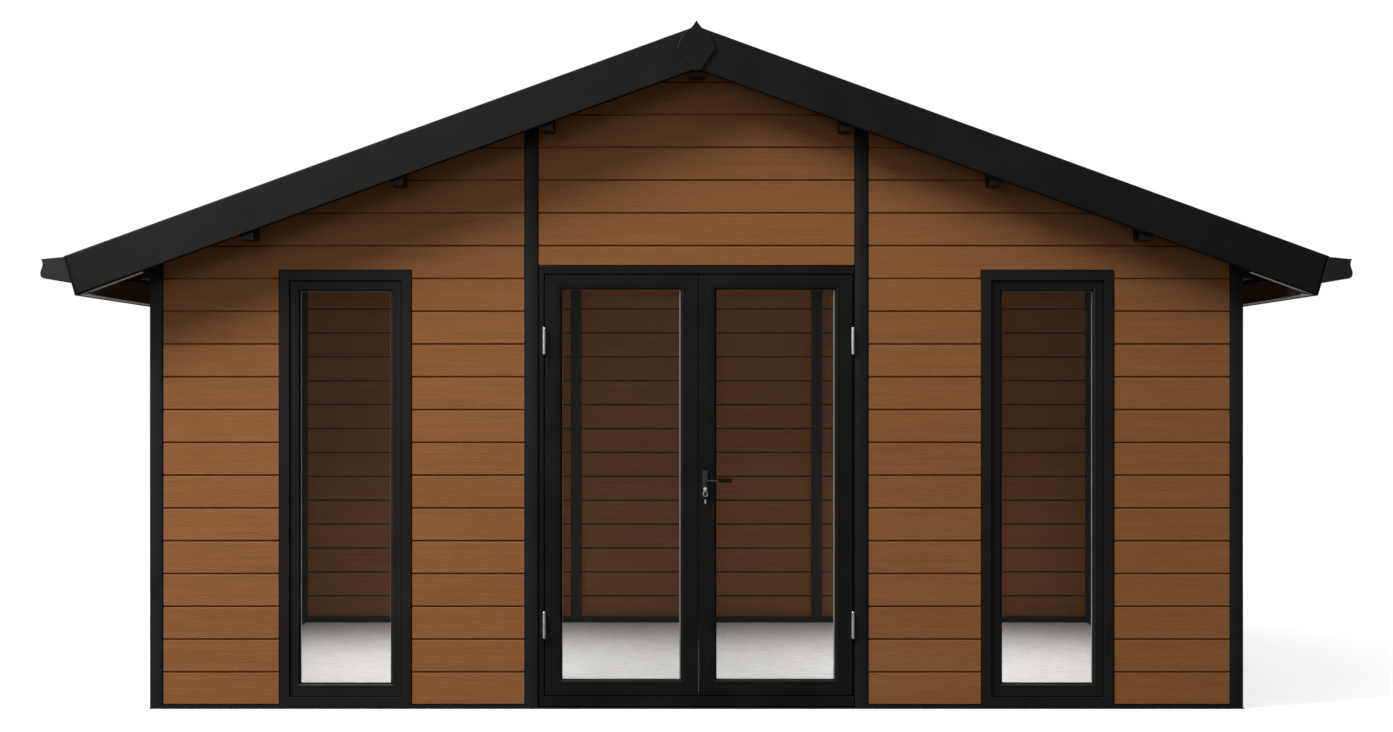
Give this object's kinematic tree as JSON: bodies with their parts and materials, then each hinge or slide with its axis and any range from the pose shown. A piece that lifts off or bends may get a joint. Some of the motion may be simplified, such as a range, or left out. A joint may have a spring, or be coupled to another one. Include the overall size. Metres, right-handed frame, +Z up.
{
  "type": "garden office pod",
  "caption": "Timber-clad garden cabin with a low gable roof, black metal frame, glazed double doors and a tall window on either side.",
  "frame": {"origin": "on the ground, in the middle of the building's outline", "axes": "+X along the glazed front towards the right-hand corner, +Y from the front into the building, +Z up"},
  "size_m": [5.9066, 4.364, 3.1189],
  "materials": {
    "wall_boards": "matt embossed wood grain",
    "black_frame": "satin powder coat",
    "roof_metal": "satin coated sheet",
    "floor": "smooth pale sheet",
    "glass": "clear double glazing",
    "hinge_metal": "satin anodised",
    "bright_steel": "nickel plated"
  },
  "bodies": {
    "building": {"floor_panel": "floor", "base_rail_front": "black_frame", "base_rail_back": "black_frame", "base_rails_side": "black_frame", "corner_posts_front": "black_frame", "corner_posts_back": "black_frame", "door_posts": "black_frame", "back_posts": "black_frame", "side_posts": "black_frame", "front_wall_left": "wall_boards", "front_wall_right": "wall_boards", "front_gable_left": "wall_boards", "front_gable_right": "wall_boards", "front_gable_middle": "wall_boards", "back_wall": "wall_boards", "left_wall": "wall_boards", "right_wall": "wall_boards", "eaves_beams": "black_frame", "ridge_beam": "black_frame", "purlins": "black_frame", "roof_panel_left": "roof_metal", "roof_panel_right": "roof_metal", "ridge_cap": "roof_metal", "ridge_plates": "roof_metal", "bargeboards_front": "roof_metal", "bargeboards_back": "roof_metal", "eaves_fascias": "roof_metal", "gutter_left": "roof_metal", "gutter_right": "roof_metal", "window_frame_left": "black_frame", "window_frame_right": "black_frame", "window_sashes": "black_frame", "window_glass": "glass", "door_frame": "black_frame", "door_hinges": "hinge_metal"},
    "left_door": {"door_leaf_left": "black_frame", "door_glass_left": "glass", "door_knuckles_left": "hinge_metal"},
    "right_door": {"door_leaf_right": "black_frame", "door_glass_right": "glass", "door_knuckles_right": "hinge_metal", "handle_plates": "black_frame", "lock_cylinder": "bright_steel", "door_key": "bright_steel"},
    "lever": {"door_lever": "black_frame"}
  },
  "joints": [
    {"name": "left_door_hinge", "type": "hinge", "parent": "building", "child": "left_door", "pos_m": [-0.696, -2.005, 1], "axis": [0, 0, -1], "range_deg": [0, 100]},
    {"name": "right_door_hinge", "type": "hinge", "parent": "building", "child": "right_door", "pos_m": [0.716, -2.005, 1], "axis": [0, 0, 1], "range_deg": [0, 100]},
    {"name": "lever_turn", "type": "hinge", "parent": "right_door", "child": "lever", "pos_m": [0.0405, -1.973, 1.044], "axis": [0, 1, 0], "range_deg": [0, 45], "stiffness_Nm_per_rad": 1.5, "springref_deg": -20.05}
  ]
}
